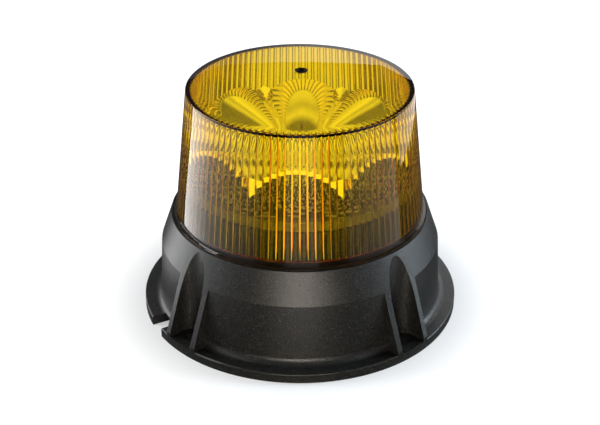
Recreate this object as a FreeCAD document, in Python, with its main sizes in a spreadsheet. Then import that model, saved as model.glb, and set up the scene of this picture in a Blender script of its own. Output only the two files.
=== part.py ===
"""Beacon with a twist-off ribbed amber dome, a ring of mirrored half-bowl reflectors and a
cast base with four foot pockets.  Frame: origin at the centre of the base's underside, +Z up
along the axis, front towards -Y (midway between two foot pockets).  Millimetres."""
import FreeCAD
import Part
import Sketcher
import math
import os

from FreeCAD import Placement, Rotation, Vector

SIZES = [
    # mounting flange, cast wall, deck and collar
    ("flange_radius", 84.0), ("flange_thickness", 5.0), ("rim_round", 0.7), ("rim_land", 8.8),
    ("foot_fillet", 3.5), ("cast_wall", 5.6), ("wall_lean", 1.81), ("cavity_draft", 0.6),
    ("crease_height", 37.4), ("deck_top", 39.5), ("deck_thickness", 3.5),
    ("wire_bore_radius", 8.0), ("shoulder_width", 17.6), ("collar_land", 1.0),
    ("counterbore_depth", 3.8),
    # foot pockets with their gussets
    ("mount_count", 4), ("first_mount_angle", 45.0), ("bolt_edge", 7.8),
    ("bolt_hole_radius", 3.45), ("pocket_radius", 8.0), ("pocket_wall", 3.0),
    ("gusset_lip", 1.83),
    # wire exit slot through the rim
    ("slot_angle", 209.0), ("slot_width", 12.0), ("slot_depth", 7.5), ("channel_height", 3.6),
    # bottom cover
    ("cover_height", 5.5), ("cover_thickness", 2.5), ("cover_gap", 0.3), ("seat_width", 2.0),
    ("cover_gasket_thickness", 1.2), ("cover_boss_radius", 4.5), ("cover_screw_inset", 9.6),
    ("cover_screw_count", 6), ("cover_screw_angle", 0.0), ("cover_screw_bite", 10.0),
    ("grommet_radius", 7.5), ("grommet_bore", 3.5), ("grommet_offset", 30.0),
    ("grommet_flange", 1.5), ("grommet_lip", 1.6),
    ("vent_radius", 5.0), ("vent_offset", 34.0), ("vent_cap", 1.5),
    # dome
    ("dome_flange_thickness", 2.8), ("dome_flange_reach", 1.6), ("dome_foot_rise", 2.2),
    ("dome_taper", 7.2), ("dome_height", 121.9), ("dome_wall", 2.5), ("dome_ceiling", 3.0),
    ("dome_round", 0.5), ("dome_rib_count", 104), ("dome_rib_depth", 0.6),
    ("dome_rib_rise", 1.0), ("well_radius", 3.0), ("well_floor", 0.8), ("well_offset", 20.5),
    # bayonet and seal
    ("seat_gap", 0.3), ("flange_overhang", 5.4), ("skirt_wall", 2.8), ("skirt_gap", 3.5),
    ("lug_count", 4), ("lug_reach", 2.2), ("lug_height", 3.0), ("lug_span", 24.0),
    ("lug_play", 1.5), ("lug_ledge", 4.0), ("lock_travel", 30.0), ("bayonet_angle", 60.0),
    ("running_gap", 0.4), ("seal_thickness", 1.2), ("seal_clear", 0.7),
    # heat sink drum
    ("drum_gap", 2.2), ("drum_wall", 3.5), ("drum_height", 29.5), ("drum_step", 4.6),
    ("land_height", 3.9), ("fin_count", 8), ("fin_thickness", 2.5), ("hub_wall", 4.0),
    ("head_clear", 0.75), ("sink_boss_radius", 5.0), ("sink_screw_inset", 10.5),
    ("sink_screw_count", 4), ("sink_screw_bite", 10.0),
    # emitter circuit board
    ("pad_thickness", 0.5), ("pad_margin", 0.5), ("board_thickness", 1.6),
    ("board_margin", 0.6), ("board_screw_inset", 3.8), ("board_screw_count", 4),
    ("board_screw_bite", 5.0), ("lead_hole_radius", 6.0),
    ("led_side", 3.4), ("led_base", 0.7), ("led_lens_radius", 1.3),
    # reflector
    ("cup_count", 8), ("first_cup_angle", -90.0), ("cup_overhang", 1.2), ("cup_radius", 24.5),
    ("cup_setback", 2.0), ("cup_shell", 2.3), ("web_height", 19.0), ("web_fall", 0.39),
    ("corner_trim", 0.45), ("floor_thickness", 1.2), ("optic_wall", 1.6), ("land_gap", 0.2),
    ("led_window_radius", 3.2), ("optic_hub_radius", 15.0), ("optic_hub_height", 7.0),
    ("hub_screw_count", 4), ("hub_screw_inset", 3.5), ("hub_screw_bite", 5.0),
    # driver circuit board on the underside of the deck, and the parts on it
    ("driver_gap", 3.5), ("standoff_count", 4), ("standoff_length", 13.0),
    ("standoff_radius", 3.5), ("standoff_inset", 6.0), ("standoff_bite", 8.0),
    ("capacitor_radius", 5.0), ("capacitor_clear", 1.5), ("capacitor_pitch", 14.0),
    ("capacitor_row", 22.0),
    ("inductor_radius", 8.0), ("inductor_waist", 7.0), ("inductor_height", 8.0),
    ("inductor_cap", 1.2), ("inductor_across", 20.0), ("inductor_back", 16.0),
    ("transistor_length", 10.0), ("transistor_width", 9.0), ("transistor_height", 4.4),
    ("transistor_pitch", 14.0), ("transistor_row", 18.0), ("transistor_shift", 10.0),
    ("controller_side", 12.0), ("controller_height", 1.6), ("controller_across", 22.0),
    ("controller_back", 4.0),
    ("terminal_length", 18.0), ("terminal_width", 9.0), ("terminal_height", 8.0),
    ("terminal_shift", 14.0),
    ("socket_length", 10.0), ("socket_width", 6.0), ("socket_height", 6.0),
    ("lead_radius", 0.9), ("lead_spread", 2.0),
    # screws and the play round them
    ("screw_radius", 2.0), ("screw_head_radius", 3.5), ("screw_head_height", 2.4),
    ("small_screw_radius", 1.5), ("small_screw_head_radius", 2.75),
    ("small_screw_head_height", 2.0), ("thread_gap", 0.05), ("thread_spare", 1.0),
    ("hole_gap", 0.2), ("cut_past", 1.0),
]

# What follows from the sizes above.  A name here stands for its formula in any other formula.
DERIVED = {
    "bolt_circle": "flange_radius - bolt_edge",
    "wall_foot_radius": "flange_radius - rim_land",
    "crease_radius": "wall_foot_radius - wall_lean",
    "cavity_radius": "wall_foot_radius - cast_wall",
    "seat_radius": "cavity_radius + seat_width",
    "gusset_rim": "flange_thickness + gusset_lip",
    "gusset_root": "wall_foot_radius - cast_wall / 2",
    "pocket_back": "pocket_radius + pocket_wall",
    "slot_inner_radius": "flange_radius - slot_depth",
    "past_rim": "flange_radius + 5 * cut_past",

    "cover_top": "cover_height + cover_thickness",
    "seat_height": "cover_top + cover_gasket_thickness",
    "cover_screw_circle": "cavity_radius - cover_screw_inset",
    "cover_bite": "pocket_back + cover_gap",

    "deck_bottom": "deck_top - deck_thickness",
    "dome_flange_radius": "flange_radius - shoulder_width",
    "skirt_radius": "dome_flange_radius - flange_overhang",
    "skirt_inner": "skirt_radius - skirt_wall",
    "skirt_bore": "skirt_radius + running_gap",
    "skirt_bottom": "deck_top + skirt_gap",
    "lug_radius": "skirt_radius + lug_reach",
    "lug_top": "skirt_bottom + lug_height",
    "track_radius": "lug_radius + running_gap",
    "entry_span": "lug_span + 2 * lug_play",
    "seal_inner_radius": "lug_radius + seal_clear",
    "counterbore_floor": "lug_top + lug_ledge",
    "counterbore_radius": "dome_flange_radius + seat_gap",
    "collar_top": "counterbore_floor + counterbore_depth",
    "collar_radius": "counterbore_radius + collar_land",

    "dome_flange_bottom": "counterbore_floor + seal_thickness + seat_gap",
    "dome_flange_top": "dome_flange_bottom + dome_flange_thickness",
    "dome_foot_height": "dome_flange_top + dome_foot_rise",
    "dome_foot_radius": "dome_flange_radius - dome_flange_reach",
    "dome_top_radius": "dome_foot_radius - dome_taper",
    "dome_bore": "dome_foot_radius - dome_wall",
    "dome_slope": "dome_taper / (dome_height - dome_foot_height)",
    "dome_rib_low": "dome_foot_height + dome_rib_rise",
    "dome_rib_high": "dome_height - dome_ceiling",
    "well_depth": "dome_ceiling - well_floor",

    "drum_radius": "skirt_inner - drum_gap",
    "drum_bore": "drum_radius - drum_wall",
    "drum_shoulder": "deck_top + drum_height",
    "drum_roof": "drum_shoulder - drum_wall",
    "drum_top": "drum_shoulder + land_height",
    "drum_land_radius": "drum_radius - drum_step",
    "hub_screw_circle": "optic_hub_radius - hub_screw_inset",
    "hub_bore": "hub_screw_circle + small_screw_head_radius + head_clear",
    "hub_radius": "hub_bore + hub_wall",
    "sink_screw_circle": "drum_bore - sink_screw_inset",

    "pad_top": "drum_top + pad_thickness",
    "board_top": "pad_top + board_thickness",
    "board_radius": "drum_land_radius - board_margin",
    "board_screw_circle": "board_radius - board_screw_inset",
    "between_cups": "first_cup_angle + 180 / cup_count",

    "floor_top": "board_top + floor_thickness",
    "cup_apothem": "drum_land_radius + cup_overhang",
    "cup_vertex": "optic_hub_radius + cup_setback",
    "cup_focal": "cup_radius ^ 2 / (4 * (cup_apothem - cup_vertex))",
    "cup_focus": "cup_vertex + cup_focal",
    "cup_outer_radius": "cup_radius + cup_shell",
    "cup_corner": "cup_apothem / cos(180 / cup_count) - corner_trim",
    "optic_bore": "drum_land_radius + land_gap",
    "optic_skirt_radius": "optic_bore + optic_wall",

    "driver_radius": "cover_screw_circle - cover_boss_radius - driver_gap",
    "driver_top": "deck_bottom - standoff_length",
    "driver_bottom": "driver_top - board_thickness",
    "standoff_circle": "driver_radius - standoff_inset",
}

ALIASES = {alias for alias, number in SIZES}

doc = FreeCAD.newDocument("Beacon")
sheet = doc.addObject("Spreadsheet::Sheet", "Sizes")
for row, (alias, number) in enumerate(SIZES, start=1):
    sheet.set(f"A{row}", alias)
    sheet.set(f"B{row}", str(number))
    sheet.setAlias(f"B{row}", alias)
doc.recompute()

UP = Vector(0, 0, 1)
SAME = 0.01  # how near a radius or height has to be to count as the same
nodes = []


def named(formula):
    """The formula with each derived name opened up and each size led by its sheet."""
    words = []
    word = ""
    for letter in str(formula) + " ":
        if letter.isalnum() or letter in "_.":
            word += letter
            continue
        if word in DERIVED:
            word = f"({named(DERIVED[word])})"
        elif word in ALIASES:
            word = "Sizes." + word
        words.append(word)
        words.append(letter)
        word = ""
    return "".join(words).strip()


def size(formula):
    """Number that a formula of sheet sizes gives now."""
    return float(sheet.evalExpression(named(formula)))


def polar(radius, angle):
    """X and Y formulas of a point at a radius and an angle in degrees."""
    return f"({radius}) * cos({angle})", f"({radius}) * sin({angle})"


def around(count, first="0"):
    """Angle formulas of evenly spaced places."""
    total = int(size(count))
    return [f"{first} + {index} * 360 / {total}" for index in range(total)]


def bind(thing, field, formula):
    thing.setExpression(field, named(formula))


def place(thing, x="0", y="0", z="0", turn="0"):
    bind(thing, "Placement.Base.x", x)
    bind(thing, "Placement.Base.y", y)
    bind(thing, "Placement.Base.z", z)
    if turn != "0":
        bind(thing, "Placement.Rotation.Angle", turn)
    return thing


def keep(thing, label):
    """Mark an object of the document as a sub-part under its own name."""
    thing.Label = label
    nodes.append(thing)
    return thing


# ---------------------------------------------------------------- PartDesign helpers

def new_body(name):
    return doc.addObject("PartDesign::Body", name)


def new_sketch(owner, plane, height="0", turn="0"):
    """Sketch on one of the body's origin planes, lifted along its normal and turned."""
    sketch = owner.newObject("Sketcher::SketchObject", "Sketch")
    base = [item for item in owner.Origin.OriginFeatures if item.Role == plane + "_Plane"][0]
    sketch.AttachmentSupport = (base, [""])
    sketch.MapMode = "FlatFace"
    spin = Vector(0, 1, 0) if plane == "XZ" else UP
    sketch.AttachmentOffset = Placement(Vector(), Rotation(spin, 1))
    bind(sketch, "AttachmentOffset.Base.z", height)
    bind(sketch, "AttachmentOffset.Rotation.Angle", turn)
    return sketch


def pin_point(sketch, geometry, end, x, y):
    """Hold one point of a sketch at a pair of formulas."""
    for kind, axis, formula in (("DistanceX", -2, x), ("DistanceY", -1, y)):
        if formula == "0":
            sketch.addConstraint(Sketcher.Constraint("PointOnObject", geometry, end, axis))
            continue
        number = sketch.addConstraint(
            Sketcher.Constraint(kind, -1, 1, geometry, end, size(formula)))
        bind(sketch, f"Constraints[{number}]", formula)


def outline(owner, plane, points, height="0", turn="0"):
    """Closed outline through points given as pairs of formulas."""
    sketch = new_sketch(owner, plane, height, turn)
    spots = [Vector(size(x), size(y), 0) for x, y in points]
    for here, there in zip(spots, spots[1:] + spots[:1]):
        sketch.addGeometry(Part.LineSegment(here, there))
    for index in range(len(points)):
        follower = (index + 1) % len(points)
        sketch.addConstraint(Sketcher.Constraint("Coincident", index, 2, follower, 1))
    for index, (x, y) in enumerate(points):
        pin_point(sketch, index, 1, x, y)
    return sketch


def discs(owner, circles, height="0", turn="0"):
    """Sketch of circles, each given by formulas of its centre and radius."""
    sketch = new_sketch(owner, "XY", height, turn)
    for x, y, radius in circles:
        centre = Vector(size(x), size(y), 0)
        index = sketch.addGeometry(Part.Circle(centre, UP, size(radius)))
        pin_point(sketch, index, 3, x, y)
        number = sketch.addConstraint(Sketcher.Constraint("Radius", index, size(radius)))
        bind(sketch, f"Constraints[{number}]", radius)
    return sketch


def revolve(owner, sketch, kind="Revolution", angle=None):
    """Turn a sketch about the vertical axis, a full turn or centred on its own plane."""
    feature = owner.newObject("PartDesign::" + kind, kind)
    feature.Profile = sketch
    feature.ReferenceAxis = (sketch, ["V_Axis"])
    feature.Angle = 360
    if angle:
        feature.Midplane = True
        bind(feature, "Angle", angle)
    sketch.Visibility = False
    return feature


def extrude(owner, sketch, length, kind="Pad", symmetric=False):
    """Pad, or pocket the same way, along the sketch's normal."""
    feature = owner.newObject("PartDesign::" + kind, kind)
    feature.Profile = sketch
    feature.Reversed = kind == "Pocket"
    if symmetric:
        feature.SideType = "Symmetric"
    bind(feature, "Length", length)
    return feature


def repeat(owner, features, count):
    """Spread features evenly round the vertical axis."""
    pattern = owner.newObject("PartDesign::PolarPattern", "PolarPattern")
    pattern.Originals = features
    axis = [item for item in owner.Origin.OriginFeatures if item.Role == "Z_Axis"][0]
    pattern.Axis = (axis, [""])
    pattern.Angle = 360
    bind(pattern, "Occurrences", count)
    owner.Tip = pattern
    return pattern


# ---------------------------------------------------------------- Part helpers

def cylinder(radius, height, x="0", y="0", z="0"):
    piece = doc.addObject("Part::Cylinder", "Cylinder")
    bind(piece, "Radius", radius)
    bind(piece, "Height", height)
    return place(piece, x, y, z)


def box(length, width, height, x="0", y="0", z="0", turn="0"):
    """Box with its middle over the point x, y and its underside at z."""
    piece = doc.addObject("Part::Box", "Box")
    bind(piece, "Length", length)
    bind(piece, "Width", width)
    bind(piece, "Height", height)
    along = f"({length}) / 2"
    across = f"({width}) / 2"
    piece.Placement = Placement(Vector(), Rotation(UP, 1))
    bind(piece, "Placement.Rotation.Angle", turn)
    return place(piece, f"{x} - {along} * cos({turn}) + {across} * sin({turn})",
                 f"{y} - {along} * sin({turn}) - {across} * cos({turn})", z)


def join(first, *others):
    """Fuse pieces, or return the only one."""
    if not others:
        return first
    union = doc.addObject("Part::MultiFuse", "Union")
    union.Shapes = [first, *others]
    return union


def cut(stock, *tools):
    feature = doc.addObject("Part::Cut", "Cut")
    feature.Base = stock
    feature.Tool = join(*tools)
    return feature


def ring(outer, inner, height, x="0", y="0", z="0"):
    return cut(cylinder(outer, height, x, y, z), cylinder(inner, height, x, y, z))


def group(label, pieces):
    """Separate solids that share one sub-part."""
    compound = doc.addObject("Part::Compound", "Group")
    compound.Links = pieces
    return keep(compound, label)


def screws(label, kind, length, circle, angles, seat, head_up=False):
    """Round-head screws on a circle, with the head on its seat and the shank beyond it."""
    pieces = []
    for angle in angles:
        x, y = polar(circle, angle)
        head_z = seat if head_up else f"{seat} - {kind}_head_height"
        shank_z = f"{seat} - ({length})" if head_up else seat
        head = cylinder(f"{kind}_head_radius", f"{kind}_head_height", x, y, head_z)
        pieces.append(join(head, cylinder(f"{kind}_radius - thread_gap", length, x, y, shank_z)))
    return group(label, pieces)


# ---------------------------------------------------------------- cast base

def base_housing():
    """Flange, drafted wall, shoulder cone, deck and bayonet collar, with four foot pockets."""
    housing = keep(new_body("Housing"), "base_housing")
    section = [
        ("seat_radius", "0"), ("flange_radius", "0"), ("flange_radius", "flange_thickness"),
        ("wall_foot_radius", "flange_thickness"), ("crease_radius", "crease_height"),
        ("collar_radius", "collar_top"), ("counterbore_radius", "collar_top"),
        ("counterbore_radius", "counterbore_floor"), ("skirt_bore", "counterbore_floor"),
        ("skirt_bore", "deck_top"), ("wire_bore_radius", "deck_top"),
        ("wire_bore_radius", "deck_bottom"), ("cavity_radius - cavity_draft", "deck_bottom"),
        ("cavity_radius", "seat_height"), ("seat_radius", "seat_height")]
    shell = revolve(housing, outline(housing, "XZ", section))
    foot = round_edge(housing, shell, "WallFoot", "wall_foot_radius", "flange_thickness",
                      "foot_fillet")
    round_edge(housing, foot, "FlangeRim", "flange_radius", "flange_thickness", "rim_round")

    bolt = polar("bolt_circle", "first_mount_angle")
    back = extrude(housing, discs(housing, [bolt + ("pocket_back",)]), "lug_top + lug_ledge / 2")
    gusset_section = [
        ("gusset_root", "flange_thickness / 2"), ("flange_radius", "flange_thickness / 2"),
        ("flange_radius", "gusset_rim"), ("crease_radius", "crease_height"),
        ("gusset_root", "crease_height")]
    gussets = extrude(housing, outline(housing, "XZ", gusset_section, turn="first_mount_angle"),
                      "2 * pocket_back", symmetric=True)
    scoop = extrude(housing, discs(housing, [bolt + ("pocket_radius",)],
                                   height="flange_thickness"), "collar_top", kind="Pocket")
    mouth_section = [
        ("bolt_circle", "-pocket_radius"), ("past_rim", "-pocket_radius"),
        ("past_rim", "pocket_radius"), ("bolt_circle", "pocket_radius")]
    mouth = extrude(housing, outline(housing, "XY", mouth_section, "flange_thickness",
                                     "first_mount_angle"), "collar_top", kind="Pocket")
    hole = extrude(housing, discs(housing, [bolt + ("bolt_hole_radius",)], height="-cut_past"),
                   "flange_thickness + 2 * cut_past", kind="Pocket")
    repeat(housing, [back, gussets, scoop, mouth, hole], "mount_count")

    outside = [
        ("collar_radius", "collar_top"), ("crease_radius", "crease_height"),
        ("flange_radius", "gusset_rim"), ("flange_radius", "-cut_past"),
        ("past_rim", "-cut_past"), ("past_rim", "collar_top + cut_past"),
        ("collar_radius", "collar_top + cut_past")]
    revolve(housing, outline(housing, "XZ", outside), "Groove")

    track_low = "skirt_bottom - running_gap"
    track_high = "lug_top + running_gap"
    track = revolve(housing, outline(housing, "XZ", [
        ("skirt_radius", track_low), ("track_radius", track_low),
        ("track_radius", track_high), ("skirt_radius", track_high)],
        turn="bayonet_angle - lock_travel / 2"), "Groove", "lock_travel + entry_span")
    entry = revolve(housing, outline(housing, "XZ", [
        ("skirt_radius", "skirt_bottom"), ("track_radius", "skirt_bottom"),
        ("track_radius", "counterbore_floor + cut_past"),
        ("skirt_radius", "counterbore_floor + cut_past")],
        turn="bayonet_angle"), "Groove", "entry_span")
    repeat(housing, [track, entry], "lug_count")

    screw = polar("cover_screw_circle", "cover_screw_angle")
    bosses = extrude(housing, discs(housing, [screw + ("cover_boss_radius",)],
                                    height="cover_top"), "deck_bottom - cover_top")
    bores = extrude(housing, discs(housing, [screw + ("screw_radius",)], height="cover_top"),
                    "cover_screw_bite + thread_spare", kind="Pocket")
    repeat(housing, [bosses, bores], "cover_screw_count")

    for inner, outer, top in (
            ("slot_inner_radius", "past_rim", "flange_thickness + foot_fillet + cut_past"),
            ("cavity_radius", "slot_inner_radius + cut_past", "channel_height")):
        slot = [(inner, "-slot_width / 2"), (outer, "-slot_width / 2"),
                (outer, "slot_width / 2"), (inner, "slot_width / 2")]
        extrude(housing, outline(housing, "XY", slot, "-cut_past", "slot_angle"),
                f"{top} + cut_past", kind="Pocket")
    sink_bores = extrude(housing, discs(housing, [
        polar("sink_screw_circle", "between_cups") + ("screw_radius + hole_gap",)],
        height="deck_bottom - cut_past"), "deck_thickness + 2 * cut_past", kind="Pocket")
    repeat(housing, [sink_bores], "sink_screw_count")


def round_edge(owner, base, name, radius, height, rounding):
    """Fillet on the circular edge of the last feature that lies at a radius and a height."""
    doc.recompute()
    edges = [f"Edge{index}" for index, edge in enumerate(base.Shape.Edges, start=1)
             if isinstance(edge.Curve, Part.Circle)
             and abs(edge.Curve.Radius - size(radius)) < SAME
             and abs(edge.Curve.Center.z - size(height)) < SAME]
    fillet = owner.newObject("PartDesign::Fillet", name)
    fillet.Base = (base, edges)
    bind(fillet, "Radius", rounding)
    return fillet


def clover(radius, bite, height, z):
    """Round plate with a bite at each foot pocket."""
    bites = [cylinder(bite, height, *polar("bolt_circle", angle), z)
             for angle in around("mount_count", "first_mount_angle")]
    return cut(cylinder(radius, height, z=z), *bites)


def bottom_cover():
    """Clover-shaped closing plate with its gasket, screws, grommet and vent."""
    angles = around("cover_screw_count", "cover_screw_angle")
    grommet = polar("grommet_offset", "slot_angle")
    vent = polar("vent_offset", "slot_angle + 180")
    plate = clover("seat_radius - cover_gap", "cover_bite", "cover_thickness", "cover_height")
    holes = [cylinder("screw_radius + hole_gap", "cover_thickness",
                      *polar("cover_screw_circle", angle), "cover_height") for angle in angles]
    holes.append(cylinder("grommet_radius", "cover_thickness", *grommet, "cover_height"))
    holes.append(cylinder("vent_radius", "cover_thickness", *vent, "cover_height"))
    keep(cut(plate, *holes), "bottom_cover")

    outer = clover("seat_radius - 2 * cover_gap", "cover_bite + cover_gap",
                   "cover_gasket_thickness", "cover_top")
    inner = clover("cavity_radius", "cover_bite + seat_width", "cover_gasket_thickness",
                   "cover_top")
    bosses = [cylinder("cover_boss_radius + cover_gap", "cover_gasket_thickness",
                       *polar("cover_screw_circle", angle), "cover_top") for angle in angles]
    keep(cut(outer, inner, *bosses), "bottom_cover_gasket")

    screws("bottom_cover_screws", "screw", "cover_thickness + cover_screw_bite",
           "cover_screw_circle", angles, "cover_height")

    low = cylinder("grommet_radius + grommet_flange", "grommet_lip", *grommet,
                   "cover_height - grommet_lip")
    high = cylinder("grommet_radius + grommet_flange", "grommet_lip", *grommet, "cover_top")
    neck = cylinder("grommet_radius", "cover_thickness", *grommet, "cover_height")
    bore = cylinder("grommet_bore", "cover_thickness + 2 * grommet_lip", *grommet,
                    "cover_height - grommet_lip")
    keep(cut(join(low, high, neck), bore), "cable_grommet")

    cap = cylinder("vent_radius + vent_cap", "vent_cap", *vent, "cover_height - vent_cap")
    keep(join(cap, cylinder("vent_radius", "cover_thickness", *vent, "cover_height")),
         "breather_vent")


# ---------------------------------------------------------------- dome

def ribbed_ring(height):
    """Closed wire of the dome's inside at a height: one arc, bulging inwards, to each rib."""
    count = int(size("dome_rib_count"))
    valley = size(f"dome_foot_radius - dome_slope * ({height} - dome_foot_height) - dome_wall")
    crest = valley - size("dome_rib_depth")
    level = size(height)

    def spot(radius, step):
        angle = 2 * math.pi * step / count
        return Vector(radius * math.cos(angle), radius * math.sin(angle), level)

    return Part.Wire([Part.Arc(spot(valley, index), spot(crest, index + 0.5),
                               spot(valley, index + 1)).toShape() for index in range(count)])


def dome():
    """Tapered dome, ribbed inside, with a flat top, a sealing flange and bayonet lugs."""
    lens = new_body("DomeBlank")
    section = [
        ("skirt_inner", "skirt_bottom"), ("skirt_radius", "skirt_bottom"),
        ("skirt_radius", "dome_flange_bottom"), ("dome_flange_radius", "dome_flange_bottom"),
        ("dome_flange_radius", "dome_flange_top"), ("dome_foot_radius", "dome_flange_top"),
        ("dome_foot_radius", "dome_foot_height"), ("dome_top_radius", "dome_height"),
        ("0", "dome_height"), ("0", "dome_rib_low"), ("dome_bore", "dome_rib_low"),
        ("dome_bore", "dome_foot_height"),
        ("skirt_inner", "dome_foot_height - (dome_bore - skirt_inner)")]
    shell = revolve(lens, outline(lens, "XZ", section))
    round_edge(lens, shell, "TopRim", "dome_top_radius", "dome_height", "dome_round")
    extrude(lens, discs(lens, [("0", "well_offset", "well_radius")],
                        height="dome_height - well_depth"), "well_depth + cut_past",
            kind="Pocket")
    lug_root = "skirt_radius - skirt_wall / 2"
    lug = revolve(lens, outline(lens, "XZ", [
        (lug_root, "skirt_bottom"), ("lug_radius", "skirt_bottom"), ("lug_radius", "lug_top"),
        (lug_root, "lug_top")], turn="bayonet_angle - lock_travel"), angle="lug_span")
    repeat(lens, [lug], "lug_count")

    core = doc.addObject("Part::Feature", "RibbedCore")
    core.Shape = Part.makeLoft([ribbed_ring("dome_rib_low - dome_rib_rise / 2"),
                                ribbed_ring("dome_rib_high")], True, True)
    keep(cut(lens, core), "dome_lens")


# ---------------------------------------------------------------- optic and heat sink

def paraboloid(vertex, rim_radius, apothem, past, height):
    """Solid of revolution under a parabola, opening along +X to some way past the apothem."""
    focal = rim_radius ** 2 / (4 * (apothem - vertex))
    mouth = apothem + past
    mouth_radius = math.sqrt(4 * focal * (mouth - vertex))
    curve = Part.BezierCurve()
    curve.setPoles([Vector(vertex, 0, 0), Vector(vertex, mouth_radius / 2, 0),
                    Vector(mouth, mouth_radius, 0)])
    back = Part.LineSegment(Vector(mouth, mouth_radius, 0), Vector(mouth, 0, 0))
    axis = Part.LineSegment(Vector(mouth, 0, 0), Vector(vertex, 0, 0))
    face = Part.Face(Part.Wire([curve.toShape(), back.toShape(), axis.toShape()]))
    solid = face.revolve(Vector(), Vector(1, 0, 0), 360)
    solid.translate(Vector(0, 0, height))
    return solid


def wedge(apothem, half_step, low, high):
    """Triangular prism from the axis out to a flat of the polygon, between two heights."""
    half_side = apothem * math.tan(math.radians(half_step))
    corners = [Vector(0, 0, low), Vector(apothem, -half_side, low),
               Vector(apothem, half_side, low), Vector(0, 0, low)]
    return Part.Face(Part.makePolygon(corners)).extrude(UP * (high - low))


def web(apothem, half_step, low):
    """Fill between two bowls, level across and falling from the polygon's flat inwards."""
    half_side = apothem * math.tan(math.radians(half_step))
    rise = size("web_height")
    toe = apothem - rise / size("web_fall")
    profile = [Vector(toe, -half_side, low), Vector(apothem, -half_side, low),
               Vector(apothem, -half_side, low + rise), Vector(toe, -half_side, low)]
    return Part.Face(Part.makePolygon(profile)).extrude(Vector(0, 2 * half_side, 0))


def turned(shape, angle):
    copy = shape.copy()
    copy.rotate(Vector(), UP, angle)
    return copy


def reflector():
    """Ring of half-paraboloid bowls in one mirrored moulding, on a floor with a skirt."""
    apothem = size("cup_apothem")
    vertex = size("cup_vertex")
    focal = size("cup_focal")
    outer_radius = size("cup_outer_radius")
    past = size("cup_shell")
    low = size("board_top")
    floor = size("floor_top")
    high = low + outer_radius + past
    count = int(size("cup_count"))
    half_step = 180 / count
    angles = [size("first_cup_angle") + index * 360 / count for index in range(count)]

    outer = paraboloid(apothem - outer_radius ** 2 / (4 * focal), outer_radius, apothem, past,
                       low)
    bowl = paraboloid(vertex, size("cup_radius"), apothem, past, low)
    room = wedge(apothem, half_step, low, high)
    room = room.common(Part.makeCylinder(size("cup_corner"), high - low, Vector(0, 0, low)))
    sector = room.common(outer).fuse([room.common(web(apothem, half_step, low)),
                                      room.common(wedge(apothem, half_step, low, floor))])
    sector = sector.cut(bowl.common(wedge(apothem + past, half_step + past, floor, high)))
    window = Part.makeCylinder(size("led_window_radius"), floor - low,
                               Vector(vertex + focal, 0, low))
    sector = sector.cut(window)
    moulding = turned(sector, angles[0]).fuse([turned(sector, angle) for angle in angles[1:]])

    skirt_bottom = size("drum_shoulder")
    skirt = Part.makeCylinder(size("optic_skirt_radius"), low - skirt_bottom,
                              Vector(0, 0, skirt_bottom))
    skirt = skirt.cut(Part.makeCylinder(size("optic_bore"), low - skirt_bottom,
                                        Vector(0, 0, skirt_bottom)))
    hub = Part.makeCylinder(size("optic_hub_radius"), size("optic_hub_height"),
                            Vector(0, 0, low))
    moulding = moulding.fuse([skirt, hub])
    relief = Part.makeCylinder(size("small_screw_head_radius + hole_gap"),
                               size("small_screw_head_height + hole_gap"),
                               Vector(size("board_screw_circle"), 0, low))
    thread = Part.makeCylinder(size("small_screw_radius"),
                               size("hub_screw_bite + thread_spare"),
                               Vector(size("hub_screw_circle"), 0, low))
    holes = [turned(relief, size(angle)) for angle in around("board_screw_count", "between_cups")]
    holes += [turned(thread, size(angle)) for angle in around("hub_screw_count")]
    feature = doc.addObject("Part::Feature", "Moulding")
    feature.Shape = moulding.cut(holes).removeSplitter()
    keep(feature, "reflector")


def heat_sink():
    """Finned drum under a round land, with bosses for the screws from the deck."""
    sink = keep(new_body("Sink"), "heat_sink")
    section = [
        ("wire_bore_radius", "drum_roof"), ("hub_bore", "drum_roof"), ("hub_bore", "deck_top"),
        ("hub_radius", "deck_top"), ("hub_radius", "drum_roof"), ("drum_bore", "drum_roof"),
        ("drum_bore", "deck_top"), ("drum_radius", "deck_top"), ("drum_radius", "drum_shoulder"),
        ("drum_land_radius", "drum_shoulder"), ("drum_land_radius", "drum_top"),
        ("wire_bore_radius", "drum_top")]
    revolve(sink, outline(sink, "XZ", section))
    fin_root = "hub_radius - hub_wall / 2"
    fin_end = "drum_radius - drum_wall / 2"
    fin_top = "drum_shoulder - drum_wall / 2"
    fin = extrude(sink, outline(sink, "XZ", [(fin_root, "deck_top"), (fin_end, "deck_top"),
                                             (fin_end, fin_top), (fin_root, fin_top)]),
                  "fin_thickness", symmetric=True)
    repeat(sink, [fin], "fin_count")

    def drill(circle, angle, radius, low, depth):
        return extrude(sink, discs(sink, [polar(circle, angle) + (radius,)], height=low), depth,
                       kind="Pocket")

    boss = extrude(sink, discs(sink, [polar("sink_screw_circle", "between_cups")
                                      + ("sink_boss_radius",)], height="deck_top"),
                   "drum_height - drum_wall / 2")
    thread = drill("sink_screw_circle", "between_cups", "screw_radius", "deck_top - cut_past",
                   "sink_screw_bite + thread_spare + cut_past")
    repeat(sink, [boss, thread], "sink_screw_count")
    passage = drill("hub_screw_circle", "0", "small_screw_radius + hole_gap",
                    "drum_roof - cut_past", "drum_top - drum_roof + 2 * cut_past")
    repeat(sink, [passage], "hub_screw_count")
    tapped = drill("board_screw_circle", "between_cups", "small_screw_radius",
                   "drum_top - board_screw_bite - thread_spare",
                   "board_screw_bite + thread_spare + cut_past")
    repeat(sink, [tapped], "board_screw_count")
    screws("heat_sink_screws", "screw", "deck_thickness + sink_screw_bite",
           "sink_screw_circle", around("sink_screw_count", "between_cups"), "deck_bottom")


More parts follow.
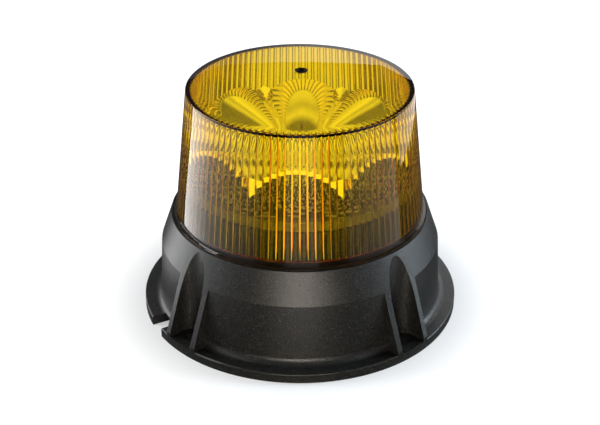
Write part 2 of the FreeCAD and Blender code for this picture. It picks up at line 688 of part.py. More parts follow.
def drilled(radius, height, z):
    """Round sheet with the hole for the leads and the clearance holes of both screw circles."""
    holes = [cylinder("lead_hole_radius", height, z=z)]
    for circle, angles in (("board_screw_circle", around("board_screw_count", "between_cups")),
                           ("hub_screw_circle", around("hub_screw_count"))):
        holes += [cylinder("small_screw_radius + hole_gap", height, *polar(circle, angle), z)
                  for angle in angles]
    return cut(cylinder(radius, height, z=z), *holes)


def light_engine():
    """Thermal pad, circuit board, emitters at the bowls' foci, and the screws that hold them."""
    keep(drilled("board_radius - pad_margin", "pad_thickness", "drum_top"), "thermal_pad")
    keep(drilled("board_radius", "board_thickness", "pad_top"), "led_board")
    screws("led_board_screws", "small_screw",
           "board_thickness + pad_thickness + board_screw_bite", "board_screw_circle",
           around("board_screw_count", "between_cups"), "board_top", head_up=True)
    screws("reflector_screws", "small_screw", "board_top - drum_roof + hub_screw_bite",
           "hub_screw_circle", around("hub_screw_count"), "drum_roof")
    packages = []
    lenses = []
    for angle in around("cup_count", "first_cup_angle"):
        x, y = polar("cup_focus", angle)
        packages.append(box("led_side", "led_side", "led_base", x, y, "board_top", angle))
        ball = doc.addObject("Part::Sphere", "Sphere")
        bind(ball, "Radius", "led_lens_radius")
        ball.Angle1 = 0
        lenses.append(place(ball, x, y, "board_top + led_base"))
    group("led_packages", packages)
    group("led_lenses", lenses)


# ---------------------------------------------------------------- driver

def driver():
    """Driver circuit board hung under the deck, with its parts and leads."""
    angles = around("standoff_count", "first_mount_angle")
    posts = [polar("standoff_circle", angle) for angle in angles]
    holes = [cylinder("screw_radius + hole_gap", "board_thickness", *post, "driver_bottom")
             for post in posts]
    keep(cut(cylinder("driver_radius", "board_thickness", z="driver_bottom"), *holes),
         "driver_board")
    group("driver_standoffs", [ring("standoff_radius", "screw_radius", "standoff_length",
                                    *post, "driver_top") for post in posts])
    screws("driver_screws", "screw", "board_thickness + standoff_bite", "standoff_circle",
           angles, "driver_bottom")
    group("filter_capacitors", [
        cylinder("capacitor_radius", "standoff_length - capacitor_clear",
                 f"{step} * capacitor_pitch", "capacitor_row", "driver_top")
        for step in (-1, 0, 1)])
    spot = ("inductor_across", "-inductor_back")
    core = cylinder("inductor_waist", "inductor_height", *spot, "driver_top")
    keep(join(core, cylinder("inductor_radius", "inductor_cap", *spot,
                             "driver_top + inductor_height")), "power_inductor")
    group("power_transistors", [
        box("transistor_length", "transistor_width", "transistor_height",
            f"{step} * transistor_pitch - transistor_shift", "-transistor_row", "driver_top")
        for step in (-1, 0, 1)])
    keep(box("controller_side", "controller_side", "controller_height", "-controller_across",
             "controller_back", "driver_top"), "flash_controller")
    keep(box("terminal_length", "terminal_width", "terminal_height", "-terminal_shift",
             "-terminal_shift", "driver_bottom - terminal_height"), "supply_terminal")
    keep(box("socket_length", "socket_width", "socket_height", "0", "0", "driver_top"),
         "led_socket")
    group("led_leads", [
        cylinder("lead_radius", "board_top - driver_top - socket_height",
                 f"{side} * lead_spread", "0", "driver_top + socket_height")
        for side in (-1, 1)])


# ---------------------------------------------------------------- assembly

base_housing()
bottom_cover()
reflector()
heat_sink()
light_engine()
driver()
dome()
keep(ring("dome_flange_radius", "seal_inner_radius", "seal_thickness",
          z="counterbore_floor"), "dome_seal")

doc.recompute()

for thing in doc.Objects:
    if "Invalid" in thing.State or "Error" in thing.State:
        raise RuntimeError(f"{thing.Label} failed: {thing.State}")
os.makedirs("parts", exist_ok=True)
for node in nodes:
    shape = node.Shape
    if shape.isNull() or not shape.isValid():
        raise RuntimeError(f"{node.Label} has no valid shape")
    print(f"{node.Label:22s} {len(shape.Solids):3d} solids {shape.Volume:11.1f} mm3")
    shape.exportStep(f"parts/{node.Label}.step")
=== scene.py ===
"""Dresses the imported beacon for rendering: fluted amber dome, mirrored optic, coated casting."""

import math

import bpy
import numpy as np
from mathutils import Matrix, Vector


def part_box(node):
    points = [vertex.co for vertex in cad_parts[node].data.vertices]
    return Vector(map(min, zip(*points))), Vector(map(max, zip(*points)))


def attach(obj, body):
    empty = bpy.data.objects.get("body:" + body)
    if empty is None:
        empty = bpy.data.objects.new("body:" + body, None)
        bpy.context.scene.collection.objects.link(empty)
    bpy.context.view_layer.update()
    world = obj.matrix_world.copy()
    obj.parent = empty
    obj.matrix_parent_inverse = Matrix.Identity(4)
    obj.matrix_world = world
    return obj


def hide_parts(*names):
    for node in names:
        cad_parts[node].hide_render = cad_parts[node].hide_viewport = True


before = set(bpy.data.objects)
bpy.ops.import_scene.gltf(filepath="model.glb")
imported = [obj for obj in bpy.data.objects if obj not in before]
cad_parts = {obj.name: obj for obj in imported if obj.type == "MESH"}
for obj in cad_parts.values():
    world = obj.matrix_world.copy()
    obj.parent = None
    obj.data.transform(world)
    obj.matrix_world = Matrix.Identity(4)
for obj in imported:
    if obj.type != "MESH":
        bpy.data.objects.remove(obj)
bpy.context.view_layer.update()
MM = 0.001


# ---------------------------------------------------------------- meshes

def mesh_object(name, points, faces, sharp_angle=None, material=None):
    """Mesh object from points in millimetres, smooth shaded except past the sharp angle."""
    mesh = bpy.data.meshes.new(name)
    mesh.from_pydata([tuple(point) for point in np.asarray(points) * MM], [], faces)
    mesh.validate()
    mesh.update()
    mesh.shade_smooth()
    if sharp_angle is not None:
        mesh.set_sharp_from_angle(angle=math.radians(sharp_angle))
    thing = bpy.data.objects.new(name, mesh)
    bpy.context.scene.collection.objects.link(thing)
    if material:
        mesh.materials.append(material)
    return thing


def grid_faces(rows, columns, wrap_rows=False, wrap_columns=False, first=0, flip=False):
    """Quads over a grid of points stored row by row."""
    faces = []
    for row in range(rows if wrap_rows else rows - 1):
        below = (row + 1) % rows
        for column in range(columns if wrap_columns else columns - 1):
            beside = (column + 1) % columns
            quad = (first + row * columns + column, first + row * columns + beside,
                    first + below * columns + beside, first + below * columns + column)
            faces.append(quad[::-1] if flip else quad)
    return faces


def full_turn(columns):
    """Evenly spaced angles once round the axis, without the repeated last one."""
    return np.arange(columns) * 2 * math.pi / columns


def loop(radius, height, turn):
    """Row of points at one radius and height, at the given angles round the axis."""
    return np.stack([radius * np.cos(turn), radius * np.sin(turn),
                     np.full(len(turn), height)], axis=1)


# ---------------------------------------------------------------- materials

def new_material(name):
    """Material with an empty node tree, the tree, and its output node."""
    material = bpy.data.materials.new(name)
    material.use_nodes = True
    tree = material.node_tree
    tree.nodes.clear()
    output = tree.nodes.new("ShaderNodeOutputMaterial")
    return material, tree, output


def principled(tree, output, **values):
    """Principled shader as the surface, with values for its sockets (_ stands for a space)."""
    shader = tree.nodes.new("ShaderNodeBsdfPrincipled")
    for name, value in values.items():
        shader.inputs[name.replace("_", " ")].default_value = value
    tree.links.new(shader.outputs["BSDF"], output.inputs["Surface"])
    return shader


def noise(tree, scale, detail=3.0, roughness=0.5):
    """Noise over object coordinates, with the scale in cells per millimetre."""
    place = tree.nodes.new("ShaderNodeTexCoord")
    texture = tree.nodes.new("ShaderNodeTexNoise")
    texture.inputs["Scale"].default_value = scale / MM
    texture.inputs["Detail"].default_value = detail
    texture.inputs["Roughness"].default_value = roughness
    tree.links.new(place.outputs["Object"], texture.inputs["Vector"])
    return texture.outputs["Fac"]


def cells(tree, scale, feature="F1"):
    """Distance to scattered points in object coordinates, with so many per millimetre."""
    place = tree.nodes.new("ShaderNodeTexCoord")
    texture = tree.nodes.new("ShaderNodeTexVoronoi")
    texture.feature = feature
    texture.inputs["Scale"].default_value = scale / MM
    tree.links.new(place.outputs["Object"], texture.inputs["Vector"])
    return texture.outputs["Distance"]


def ramp(tree, source, stops):
    """Colour of a ramp fed by a socket; stops are (position, grey or colour)."""
    node = tree.nodes.new("ShaderNodeValToRGB")
    elements = node.color_ramp.elements
    while len(elements) < len(stops):
        elements.new(0.5)
    for element, (position, tone) in zip(elements, stops):
        element.position = position
        rgb = tone if isinstance(tone, tuple) else (tone, tone, tone)
        element.color = (*rgb, 1.0)
    tree.links.new(source, node.inputs["Fac"])
    return node.outputs["Color"]


def add_bump(tree, shader, height, distance):
    """Bump from a height socket, with its full depth in millimetres."""
    bump = tree.nodes.new("ShaderNodeBump")
    bump.inputs["Distance"].default_value = distance * MM
    bump.inputs["Strength"].default_value = 1.0
    tree.links.new(height, bump.inputs["Height"])
    tree.links.new(bump.outputs["Normal"], shader.inputs["Normal"])


def powder_coat():
    """Fine textured black powder coat with a soft sparkle."""
    material, tree, output = new_material("powder_coat")
    shader = principled(tree, output, IOR=1.5)
    fine = noise(tree, 1.9, 2.0, 0.6)
    colour = ramp(tree, fine, [(0.4, (0.004, 0.004, 0.004)), (0.6, (0.010, 0.010, 0.009)),
                               (0.72, (0.065, 0.062, 0.056))])
    tree.links.new(colour, shader.inputs["Base Color"])
    gloss = ramp(tree, fine, [(0.3, 0.26), (0.7, 0.38)])
    tree.links.new(gloss, shader.inputs["Roughness"])
    add_bump(tree, shader, fine, 0.15)
    return material


def amber_plastic():
    """Clear amber polycarbonate: colour comes from its depth, and the valleys are frosted."""
    material, tree, output = new_material("amber_polycarbonate")
    shader = principled(tree, output, IOR=1.585, Transmission_Weight=1.0)
    valley = tree.nodes.new("ShaderNodeAttribute")
    valley.attribute_name = "valley"
    frost = ramp(tree, valley.outputs["Fac"], [(0.45, 0.0), (0.55, 0.08)])
    tree.links.new(frost, shader.inputs["Roughness"])
    tint = ramp(tree, valley.outputs["Fac"], [(0.45, 1.0), (0.55, (1.0, 0.82, 0.45))])
    tree.links.new(tint, shader.inputs["Base Color"])
    depth = tree.nodes.new("ShaderNodeVolumeAbsorption")
    depth.inputs["Color"].default_value = (0.990, 0.917, 0.0, 1.0)
    depth.inputs["Density"].default_value = 850.0
    tree.links.new(depth.outputs["Volume"], output.inputs["Volume"])
    return material


def mirror_coat():
    """Vacuum metallised plastic, faintly hazed."""
    material, tree, output = new_material("mirror_coat")
    shader = principled(tree, output, Metallic=1.0, Base_Color=(0.93, 0.92, 0.90, 1.0))
    gloss = ramp(tree, noise(tree, 0.15), [(0.35, 0.03), (0.7, 0.09)])
    tree.links.new(gloss, shader.inputs["Roughness"])
    return material


def peened_mirror():
    """Metallised plastic with small shallow dimples that spread the beam."""
    material, tree, output = new_material("peened_mirror")
    shader = principled(tree, output, Metallic=1.0, Roughness=0.08,
                        Base_Color=(0.9, 0.89, 0.86, 1.0))
    add_bump(tree, shader, cells(tree, 0.45, "SMOOTH_F1"), 0.7)
    return material


def speckled_board():
    """Dark solder mask scattered with small bright plated dots."""
    material, tree, output = new_material("speckled_board")
    shader = principled(tree, output)
    dots = ramp(tree, cells(tree, 0.3), [(0.42, 1.0), (0.50, 0.0)])
    colour = ramp(tree, dots, [(0.0, (0.012, 0.012, 0.01)), (1.0, (0.95, 0.9, 0.7))])
    tree.links.new(colour, shader.inputs["Base Color"])
    tree.links.new(dots, shader.inputs["Metallic"])
    gloss = ramp(tree, dots, [(0.0, 0.4), (1.0, 0.3)])
    tree.links.new(gloss, shader.inputs["Roughness"])
    return material


def simple_material(name, colour, roughness, specular=0.5):
    """Plain finish with a little grain in its colour, gloss and surface."""
    material, tree, output = new_material(name)
    shader = principled(tree, output, Specular_IOR_Level=specular)
    fine = noise(tree, 0.5)
    tones = ramp(tree, fine, [(0.3, tuple(0.88 * part for part in colour)), (0.7, colour)])
    tree.links.new(tones, shader.inputs["Base Color"])
    gloss = ramp(tree, fine, [(0.3, roughness * 0.85), (0.7, roughness * 1.15)])
    tree.links.new(gloss, shader.inputs["Roughness"])
    add_bump(tree, shader, fine, 0.05)
    return material


# ---------------------------------------------------------------- dome
# Lengths in millimetres, slopes in degrees. A rib's phase is 0 on its crest and 1 or -1 in
# the valleys beside it.

FOOT_RADIUS, FOOT_HEIGHT, TOP_RADIUS = 64.8, 56.5, 57.6
FLANGE_RADIUS, FLANGE_LOW, FLANGE_HIGH = 66.4, 51.5, 54.3
FLANGE_CHAMFER, FLANGE_ROUNDING = 0.3, 0.5
SEAT_RADIUS, SEAT_BORE = 61.0, 58.2
EDGE_ROUNDING = 0.45
DOME_WALL = 2.1
DOME_CEILING = 2.4
FLAT_RADIUS = 50.0
CLOSED = 0.01
WELL_PLACE = 20.5
WELL_RADIUS = 3.0
WELL_BEVEL = 0.5
WELL_DEPTH = 1.8
RIBS = 104
RIB_CIRCLE = 60.0
RIB_PHASES = np.array([-1, -0.92, -0.84, -0.76, -0.74, -0.55, -0.35, -0.1,
                       0.1, 0.35, 0.55, 0.74, 0.76, 0.84, 0.92])
RIB_SAMPLES = 1000
RIB_END = 0.8
CREST_SLOPE = 27.0
FLANK_SLOPE = 45.0
FLANK_START = 0.75
POCKET = 0.9


def rib_profile():
    """Inward bulge at each phase of a rib: a round crest, then flat steep flanks."""
    half_pitch = math.pi * RIB_CIRCLE / RIBS
    steps = np.linspace(0, 1, RIB_SAMPLES)
    slope = np.radians(np.where(steps < FLANK_START, CREST_SLOPE * steps, FLANK_SLOPE))
    fall = np.cumsum(np.tan(slope)) * half_pitch / RIB_SAMPLES
    return fall[-1] - np.interp(np.abs(RIB_PHASES), steps, fall)


def dome(material, seat_and_well_shade_material):
    """Closed shell: smooth tapered outside, ribbed inside, flat top with a small well.

    It is turned from loops that run up the outside, over the top and down the inside. The
    second material covers what sits in the casting, and paints the inside of the well dark as
    shade.
    """
    low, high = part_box("dome_lens")
    foot, top = low[2] / MM, high[2] / MM
    taper = (FOOT_RADIUS - TOP_RADIUS) / (top - FOOT_HEIGHT)
    bulge = np.tile(rib_profile(), RIBS)
    rings = []

    def ring(radius, height, share=0.0, shift=0.0, lift=0.0):
        """One loop: ribs stand in by a share, shift is to the back, lift raises valleys."""
        rings.append((radius, height, share, shift, lift))

    def outer_radius(height):
        return FOOT_RADIUS - taper * (height - FOOT_HEIGHT)

    # seat, flange and the fillet above it
    ring(SEAT_BORE, foot)
    ring(SEAT_RADIUS, foot)
    ring(SEAT_RADIUS, FLANGE_LOW)
    ring(FLANGE_RADIUS - FLANGE_CHAMFER, FLANGE_LOW)
    ring(FLANGE_RADIUS, FLANGE_LOW + FLANGE_CHAMFER)
    for inward, down in ((0, 1), (0.3, 0.3), (1, 0)):
        ring(FLANGE_RADIUS - inward * FLANGE_ROUNDING, FLANGE_HIGH - down * FLANGE_ROUNDING)
    for outward, up in ((0.7, 0), (0.15, 0.25), (0, 0.8)):
        ring(FOOT_RADIUS + outward, FLANGE_HIGH + up)

    # wall, upper edge, flat top and well
    shoulder = top - EDGE_ROUNDING
    for height in np.linspace(FOOT_HEIGHT, shoulder, 6):
        ring(outer_radius(height), height)
    for turn in np.radians(np.linspace(12, 90, 7)):
        ring(outer_radius(shoulder) - EDGE_ROUNDING * (1 - math.cos(turn)),
             shoulder + EDGE_ROUNDING * math.sin(turn))
    for step in np.linspace(0, 1, 6):
        ring(FLAT_RADIUS + (WELL_RADIUS + WELL_BEVEL - FLAT_RADIUS) * step, top,
             shift=WELL_PLACE * step)
    well = len(rings)
    for radius, deep in ((WELL_RADIUS, WELL_BEVEL), (WELL_RADIUS, WELL_DEPTH),
                         (CLOSED, WELL_DEPTH)):
        ring(radius, top - deep, shift=WELL_PLACE)

    # ceiling, pockets at the valleys' upper ends, ribbed wall and back to the seat
    ceiling = top - DOME_CEILING
    for step in np.linspace(0, 1, 6):
        ring(CLOSED + (FLAT_RADIUS - CLOSED) * step, ceiling, shift=WELL_PLACE * (1 - step))
    inside = outer_radius(ceiling) - DOME_WALL
    ring(inside - bulge.max() - 0.5, ceiling)
    ring(inside - 0.1, ceiling, 1, lift=POCKET)
    ring(inside, ceiling - 0.3, 1, lift=0.5 * POCKET)
    floor = FOOT_HEIGHT + 0.2
    for height in np.linspace(ceiling - 1.2, floor + RIB_END, 8):
        ring(outer_radius(height) - DOME_WALL, height, 1)
    for turn in np.radians(np.linspace(75, 0, 6)):
        height = floor + RIB_END * (1 - math.cos(turn))
        ring(outer_radius(height) - DOME_WALL, height, math.sin(turn))
    ring(FOOT_RADIUS - DOME_WALL, FOOT_HEIGHT)
    ring(SEAT_BORE, FLANGE_HIGH - 1.4)

    phases = np.arange(RIBS)[:, None] + RIB_PHASES[None, :] / 2
    angle = phases.ravel() * 2 * math.pi / RIBS
    points = []
    for radius, height, share, shift, lift in rings:
        spread = radius - share * bulge
        points.append(np.stack([spread * np.cos(angle), spread * np.sin(angle) + shift,
                                height + lift * (1 - bulge / bulge.max())], axis=1))
    faces = grid_faces(len(rings), len(angle), wrap_rows=True, wrap_columns=True)
    lens = mesh_object("dome_shell", np.concatenate(points), faces, 13.5, material)

    ribbed = np.array([share > 0.3 for _, _, share, _, _ in rings])
    flank = np.tile(np.abs(RIB_PHASES) >= FLANK_START, RIBS)
    valley = lens.data.attributes.new("valley", "FLOAT", "POINT")
    valley.data.foreach_set("value", np.outer(ribbed, flank).ravel().astype(np.float32))

    lens.data.materials.append(seat_and_well_shade_material)
    # faces that sit in the casting, and the well's wall and bottom, which are painted dark as
    # shade
    seated_or_shaded = np.zeros((len(rings), len(angle)), np.int32)
    seated_or_shaded[[0, 1, 2, well, well + 1, -2, -1]] = 1
    lens.data.polygons.foreach_set("material_index", seated_or_shaded.ravel())
    return lens


# ---------------------------------------------------------------- optic
# Lengths in millimetres. Each bowl opens outwards; its vertex is near the axis.

BOWLS = 8
BOWL_VERTEX, BOWL_RADIUS, BOWL_SHELL = 17.0, 24.5, 2.3
APOTHEM = 52.6
BOARD_TOP, OPTIC_BASE = 76.2, 75.0
HUB_RADIUS, HUB_HEIGHT = 15.0, 7.0
WEB_START, WEB_HEIGHT, WEB_FALL = 20.0, 22.5, 1.1
ACROSS = 49
MIRROR, BOARD, BOWL = 0, 1, 2
SKIRT_RADIUS, SKIRT_BORE, SKIRT_LOW, SKIRT_HIGH, SKIRT_CHAMFER = 57.3, 51.6, 70.8, 76.1, 0.3


def optic(mirror_material, board_material, bowl_material):
    """Moulding of eight half-paraboloid bowls, with webs between their rims and a hub."""
    half_step = math.pi / BOWLS
    spread = math.tan(half_step)
    focal = BOWL_RADIUS ** 2 / (4 * (APOTHEM - BOWL_VERTEX))
    outer_vertex = APOTHEM - (BOWL_RADIUS + BOWL_SHELL) ** 2 / (4 * focal)
    corner = APOTHEM / math.cos(half_step)
    board = BOARD_TOP - OPTIC_BASE

    def roof(along, across):
        """Height of the moulding's upper side."""
        reach = np.hypot(along, across)
        bowl = np.sqrt(np.maximum(4 * focal * (along - outer_vertex) - across ** 2, 0))
        web = np.where(reach > WEB_START, WEB_HEIGHT - WEB_FALL * (corner - reach), 0)
        hub = np.where(reach <= HUB_RADIUS, HUB_HEIGHT, 0)
        return OPTIC_BASE + np.maximum(np.maximum(bowl, web), np.maximum(hub, board))

    def bowl_inside(along, share):
        """Place across and height on a bowl's inner face, for a share of its width."""
        rim = np.sqrt(4 * focal * (along - BOWL_VERTEX))
        turn = share * np.arcsin(np.minimum(1, along * spread / np.maximum(rim, 1e-6)))
        return rim * np.sin(turn), OPTIC_BASE + np.maximum(rim * np.cos(turn), board)

    points, faces, finish_of = [], [], []

    def add_grid(along, across, height, turn, flip=False, finish=MIRROR):
        """Grid of one sector, turned round the axis."""
        first = sum(len(block) for block in points)
        x = along * math.cos(turn) - across * math.sin(turn)
        y = along * math.sin(turn) + across * math.cos(turn)
        points.append(np.stack([x.ravel(), y.ravel(), height.ravel()], axis=1))
        grid = grid_faces(*along.shape, first=first, flip=not flip)
        faces.extend(grid)
        finish_of.extend([finish] * len(grid))

    share = np.linspace(-1, 1, ACROSS)
    radial = np.concatenate([np.linspace(0.01, 10, 4), np.linspace(11, APOTHEM, 72)])
    inner_radial = BOWL_VERTEX + (APOTHEM - BOWL_VERTEX) * np.linspace(0.02, 1, 60) ** 1.5
    for index in range(BOWLS):
        turn = 2 * half_step * index - math.pi / 2

        along, part = np.meshgrid(radial, share, indexing="ij")
        across = along * spread * part
        add_grid(along, across, roof(along, across), turn)

        along, part = np.meshgrid(inner_radial, share, indexing="ij")
        add_grid(along, *bowl_inside(along, part), turn, flip=True, finish=BOWL)

        # rim face between the inner and the upper side
        along = np.full((2, ACROSS), APOTHEM)
        across, height = bowl_inside(along[0], share)
        add_grid(along, np.stack([across, across]),
                 np.stack([height, roof(along[0], across)]), turn, flip=True)

        # board below the bowl, and its outer edge
        along, part = np.meshgrid([BOWL_VERTEX - 4, APOTHEM], share, indexing="ij")
        add_grid(along, along * spread * part, np.full(along.shape, BOARD_TOP), turn,
                 finish=BOARD)
        along, part = np.meshgrid([APOTHEM, APOTHEM + 0.001], share, indexing="ij")
        height = np.stack([np.full(ACROSS, BOARD_TOP), np.full(ACROSS, OPTIC_BASE)])
        add_grid(along, along * spread * part, height, turn, finish=BOARD)
    piece = mesh_object("optic_bowls", np.concatenate(points), faces, 20, mirror_material)
    piece.data.materials.append(board_material)
    piece.data.materials.append(bowl_material)
    piece.data.polygons.foreach_set("material_index", np.array(finish_of, np.int32))
    return piece


def optic_skirt(material):
    """Ring that carries the optic, wide enough to cover the corners of its base."""
    outline = [(SKIRT_RADIUS, SKIRT_LOW), (SKIRT_RADIUS, SKIRT_HIGH - SKIRT_CHAMFER),
               (SKIRT_RADIUS - SKIRT_CHAMFER, SKIRT_HIGH), (SKIRT_BORE, SKIRT_HIGH),
               (SKIRT_BORE, SKIRT_LOW)]
    turn = full_turn(256)
    points = np.concatenate([loop(radius, height, turn) for radius, height in outline])
    faces = grid_faces(len(outline), len(turn), wrap_rows=True, wrap_columns=True)
    return mesh_object("optic_skirt", points, faces, 30, material)


# ---------------------------------------------------------------- camera

CAMERA_DISTANCE = 0.5875
CAMERA_HEIGHT = 0.3758
CAMERA_AZIMUTH = math.radians(1.8)
CAMERA_PITCH = math.radians(29.07)
CAMERA_LENS = 76.09


def place_camera():
    """Camera at the photograph's viewing angle."""
    data = bpy.data.cameras.new("camera")
    data.lens = CAMERA_LENS
    data.sensor_width = 36
    camera = bpy.data.objects.new("camera", data)
    camera.location = (CAMERA_DISTANCE * math.sin(CAMERA_AZIMUTH),
                       -CAMERA_DISTANCE * math.cos(CAMERA_AZIMUTH), CAMERA_HEIGHT)
    look = Vector((-math.sin(CAMERA_AZIMUTH) * math.cos(CAMERA_PITCH),
                   math.cos(CAMERA_AZIMUTH) * math.cos(CAMERA_PITCH), -math.sin(CAMERA_PITCH)))
    camera.rotation_euler = look.to_track_quat("-Z", "Y").to_euler()
    bpy.context.scene.collection.objects.link(camera)
    bpy.context.scene.camera = camera


# ---------------------------------------------------------------- world

# Upright windows round the axis: first and last angle in degrees, tone, tone of the gap.
# The back ones light the flutes, and the front ones the lines in the valleys.
FRONT = (1.0, 0.02)
BACK = (0.73, 0.07)
WINDOWS = [(-160, -152, *FRONT), (-118, -64, *FRONT), (-42, -34, *FRONT),
           *[(first, first + 18, *BACK) for first in range(10, 155, 36)]]
WINDOW_EDGE = 2.5
STUDIO_STRENGTH = 1.45
DIM_STRENGTH = 0.14


def light_path(tree, kind):
    """Socket that is 1 for the named kind of ray and 0 for the rest."""
    return tree.nodes.new("ShaderNodeLightPath").outputs[kind]


def windows(tree, direction):
    """Bright upright windows round the axis with darkness between them, soft edged."""
    split = tree.nodes.new("ShaderNodeSeparateXYZ")
    tree.links.new(direction, split.inputs["Vector"])
    azimuth = tree.nodes.new("ShaderNodeMath")
    azimuth.operation = "ARCTAN2"
    tree.links.new(split.outputs["Y"], azimuth.inputs[0])
    tree.links.new(split.outputs["X"], azimuth.inputs[1])
    share = tree.nodes.new("ShaderNodeMath")
    share.operation = "MULTIPLY_ADD"
    share.inputs[1].default_value = 0.5 / math.pi
    share.inputs[2].default_value = 0.5
    tree.links.new(azimuth.outputs[0], share.inputs[0])
    stops = []
    for first, last, tone, gap in WINDOWS:
        stops += [(first - WINDOW_EDGE, gap), (first + WINDOW_EDGE, tone),
                  (last - WINDOW_EDGE, tone), (last + WINDOW_EDGE, gap)]
    return ramp(tree, share.outputs[0], [((turn + 180) / 360, tone) for turn, tone in stops])


def along(tree, direction, way, start=0.0):
    """Socket with how far a direction points along a way, plus a start value."""
    dot = tree.nodes.new("ShaderNodeVectorMath")
    dot.operation = "DOT_PRODUCT"
    tree.links.new(direction, dot.inputs[0])
    dot.inputs[1].default_value = way
    add = tree.nodes.new("ShaderNodeMath")
    add.operation = "ADD"
    add.inputs[1].default_value = start
    tree.links.new(dot.outputs["Value"], add.inputs[0])
    return add.outputs[0]


def blend(tree, kind, first, second, factor=None):
    """Colour of two sockets blended, in full or by a factor socket."""
    node = tree.nodes.new("ShaderNodeMixRGB")
    node.blend_type = kind
    node.inputs["Fac"].default_value = 1.0
    if factor is not None:
        tree.links.new(factor, node.inputs["Fac"])
    tree.links.new(first, node.inputs["Color1"])
    tree.links.new(second, node.inputs["Color2"])
    return node.outputs["Color"]


def studio(tree):
    """What rays through the dome see: windows low down, a pale ground in front, a sky above."""
    direction = tree.nodes.new("ShaderNodeTexCoord").outputs["Generated"]
    height = along(tree, direction, (0, 0, 1))
    down = along(tree, direction, (0, 0, -1))
    backward = along(tree, direction, (0, 0.5, 0), 0.5)
    forward = along(tree, direction, (0, -0.5, 0), 0.5)

    sky = ramp(tree, backward, [(0.55, 0.12), (0.62, 0.8), (0.67, 0.5), (0.73, 1.0),
                                (0.82, 0.7)])
    strip = ramp(tree, backward, [(0.24, 0.0), (0.28, 1.0), (0.34, 1.0), (0.38, 0.0)])
    sky = blend(tree, "LIGHTEN", sky, strip)

    steep = ramp(tree, down, [(0.34, 0.0), (0.42, 0.9)])
    raised = ramp(tree, height, [(0.2, 0.0), (0.35, 0.8)])
    front = ramp(tree, forward, [(0.35, 0.0), (0.45, 1.0)])
    ground = blend(tree, "MULTIPLY", front, blend(tree, "LIGHTEN", steep, raised))

    low = blend(tree, "LIGHTEN", windows(tree, direction), ground)
    high = ramp(tree, height, [(0.5, 0.0), (0.7, 1.0)])
    return blend(tree, "MIX", low, sky, high)


def white_world():
    """White for the camera, the studio for rays through the dome, dim grey for the rest."""
    world = bpy.data.worlds.new("world")
    bpy.context.scene.world = world
    world.use_nodes = True
    tree = world.node_tree
    tree.nodes.clear()
    output = tree.nodes.new("ShaderNodeOutputWorld")
    through = tree.nodes.new("ShaderNodeBackground")
    through.inputs["Strength"].default_value = STUDIO_STRENGTH
    tree.links.new(studio(tree), through.inputs["Color"])
    around = tree.nodes.new("ShaderNodeBackground")
    around.inputs["Strength"].default_value = DIM_STRENGTH
    plain = tree.nodes.new("ShaderNodeBackground")
    plain.inputs["Color"].default_value = (1, 1, 1, 1)
    inner = tree.nodes.new("ShaderNodeMixShader")
    tree.links.new(light_path(tree, "Is Transmission Ray"), inner.inputs["Fac"])
    tree.links.new(around.outputs["Background"], inner.inputs[1])
    tree.links.new(through.outputs["Background"], inner.inputs[2])
    mix = tree.nodes.new("ShaderNodeMixShader")
    tree.links.new(light_path(tree, "Is Camera Ray"), mix.inputs["Fac"])
    tree.links.new(inner.outputs["Shader"], mix.inputs[1])
    tree.links.new(plain.outputs["Background"], mix.inputs[2])
    tree.links.new(mix.outputs["Shader"], output.inputs["Surface"])


# ---------------------------------------------------------------- stage and lights

FLOOR_REACH = 4000
FLOOR_LEVEL = -0.2
CARD_LEVEL = -0.1
BASE_RADIUS = 86
# tone of the floor's own glow for the camera, by metres from the axis; it dims close to the base
# as a painted contact shadow
FLOOR_GLOW_WITH_PAINTED_SHADOW = [(0.084, 0.46), (0.107, 0.77), (0.14, 0.9), (1.0, 0.95)]


def soft_box(name, place, target, width, height, power, colour, glossy=True):
    """Area lamp aimed at a point, unseen through the dome."""
    data = bpy.data.lights.new(name, "AREA")
    data.shape = "RECTANGLE"
    data.size = width
    data.size_y = height
    data.energy = power
    data.color = colour
    lamp = bpy.data.objects.new(name, data)
    lamp.location = place
    aim = Vector(target) - Vector(place)
    lamp.rotation_euler = aim.to_track_quat("-Z", "Y").to_euler()
    lamp.visible_transmission = False
    lamp.visible_glossy = glossy
    bpy.context.scene.collection.objects.link(lamp)


def pale_floor():
    """Large pale floor that shows as white away from the object's shadow; near the base its glow
    for the camera is dimmed as a painted contact shadow.
    """
    material, tree, output = new_material("stage_floor")
    matte = tree.nodes.new("ShaderNodeBsdfDiffuse")
    matte.inputs["Color"].default_value = (0.5, 0.5, 0.5, 1)
    place = tree.nodes.new("ShaderNodeTexCoord")
    distance = tree.nodes.new("ShaderNodeVectorMath")
    distance.operation = "LENGTH"
    tree.links.new(place.outputs["Object"], distance.inputs[0])
    glow = tree.nodes.new("ShaderNodeEmission")
    # glow for the camera by distance from the axis, darker next to the base: painted contact
    # shadow
    tree.links.new(ramp(tree, distance.outputs["Value"], FLOOR_GLOW_WITH_PAINTED_SHADOW), glow.inputs["Color"])
    tree.links.new(light_path(tree, "Is Camera Ray"), glow.inputs["Strength"])
    both = tree.nodes.new("ShaderNodeAddShader")
    tree.links.new(matte.outputs["BSDF"], both.inputs[0])
    tree.links.new(glow.outputs["Emission"], both.inputs[1])
    tree.links.new(both.outputs["Shader"], output.inputs["Surface"])
    corners = [(x * FLOOR_REACH, y * FLOOR_REACH, FLOOR_LEVEL)
               for x, y in ((-1, -1), (1, -1), (1, 1), (-1, 1))]
    floor = mesh_object("stage_floor", corners, [(0, 1, 2, 3)], None, material)
    floor.visible_transmission = False
    floor.visible_glossy = False


def only_reflected(thing):
    """Makes a piece of the stage visible in reflections alone."""
    thing.visible_camera = False
    thing.visible_diffuse = False
    thing.visible_transmission = False
    thing.visible_shadow = False


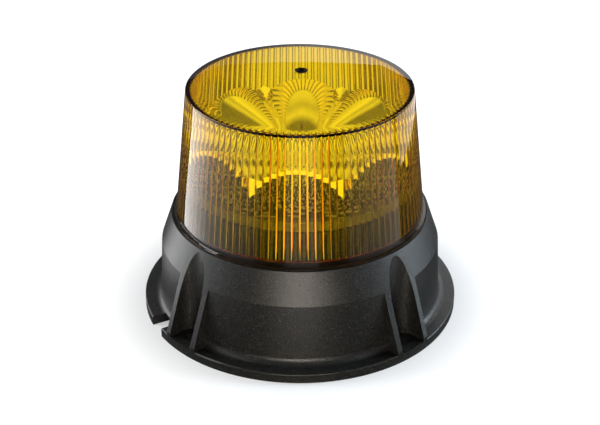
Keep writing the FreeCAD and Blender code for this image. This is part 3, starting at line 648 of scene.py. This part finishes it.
def reflected_card(name, radius, first, last, low, high, stops):
    """Upright curved card round the axis, graded along its length, seen in reflections only."""
    turn = np.radians(np.linspace(first, last, 33))
    material, tree, output = new_material(name)
    length = tree.nodes.new("ShaderNodeAttribute")
    length.attribute_name = "length"
    glow = tree.nodes.new("ShaderNodeEmission")
    tree.links.new(ramp(tree, length.outputs["Fac"], stops), glow.inputs["Color"])
    tree.links.new(glow.outputs["Emission"], output.inputs["Surface"])
    points = np.concatenate([loop(radius, low, turn), loop(radius, high, turn)])
    card = mesh_object(name, points, grid_faces(2, len(turn)), None, material)
    share = card.data.attributes.new("length", "FLOAT", "POINT")
    share.data.foreach_set("value", np.tile(np.linspace(0, 1, len(turn)), 2)
                           .astype(np.float32))
    only_reflected(card)


def ground_card(radius, tone):
    """Dark ring on the floor round the base, seen in reflections only."""
    material, tree, output = new_material("stage_ground")
    glow = tree.nodes.new("ShaderNodeEmission")
    glow.inputs["Color"].default_value = (tone, tone, tone, 1)
    tree.links.new(glow.outputs["Emission"], output.inputs["Surface"])
    turn = full_turn(64)
    points = np.concatenate([loop(BASE_RADIUS, CARD_LEVEL, turn),
                             loop(radius, CARD_LEVEL, turn)])
    only_reflected(mesh_object("stage_ground", points,
                               grid_faces(2, len(turn), wrap_columns=True), None, material))


# ---------------------------------------------------------------- assembly

place_camera()
white_world()
pale_floor()
ground_card(320, 0.05)
reflected_card("stage_surround", 320, 0, 360, CARD_LEVEL, 560, [(0, 0.05), (1, 0.05)])
reflected_card("stage_left", 120, -191.2, -115.6, 2, 200,
               [(0, 3.5), (0.22, 2.9), (0.45, 1.2), (0.7, 0.5), (1, 0.15)])
reflected_card("stage_middle", 120, -97.7, -76, 2, 200, [(0, 0.4), (1, 0.4)])
reflected_card("stage_right", 120, -57, -10.2, 2, 200, [(0, 0.2), (0.6, 0.45), (1, 0.7)])
reflected_card("stage_back", 300, 10, 170, 0, 232,
               [(0, 1.0), (0.35, 1.3), (0.5, 0.7), (0.56, 0.25), (1, 0.1)])
soft_box("front", (0.03, -1.0, 0.06), (0, 0, 0.045), 0.26, 0.10, 7.5, (1.0, 0.91, 0.78))
soft_box("left", (-0.95, 0.05, 0.35), (0, 0, 0.05), 0.4, 0.6, 11, (0.9, 0.96, 1.0))
soft_box("right", (0.95, 0.1, 0.30), (0, 0, 0.05), 0.3, 0.5, 15, (0.75, 0.88, 1.0))
soft_box("top", (0, 0.1, 1.0), (0, 0, 0.05), 0.35, 0.35, 0.6, (1, 1, 1), glossy=False)

finishes = {
    "base_housing": powder_coat(),
    "heat_sink": simple_material("black_anodise", (0.012, 0.012, 0.011), 0.5, specular=0.2),
    "led_board": speckled_board(),
    "led_packages": simple_material("phosphor", (0.9, 0.75, 0.2), 0.4),
}
plain = simple_material("dark_parts", (0.04, 0.04, 0.04), 0.5)
for name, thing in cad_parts.items():
    thing.data.materials.clear()
    thing.data.materials.append(finishes.get(name, plain))

lens = dome(amber_plastic(), plain)
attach(lens, "dome")
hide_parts("dome_lens")
dull_ring = simple_material("dull_ring", (0.11, 0.105, 0.095), 0.45)
for part in (optic(mirror_coat(), finishes["led_board"], peened_mirror()),
             optic_skirt(dull_ring)):
    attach(part, "base")
    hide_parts("reflector")

scene = bpy.context.scene
scene.view_settings.view_transform = "Standard"
scene.cycles.max_bounces = 24
scene.cycles.transmission_bounces = 24
scene.cycles.glossy_bounces = 8
scene.cycles.use_denoising = True
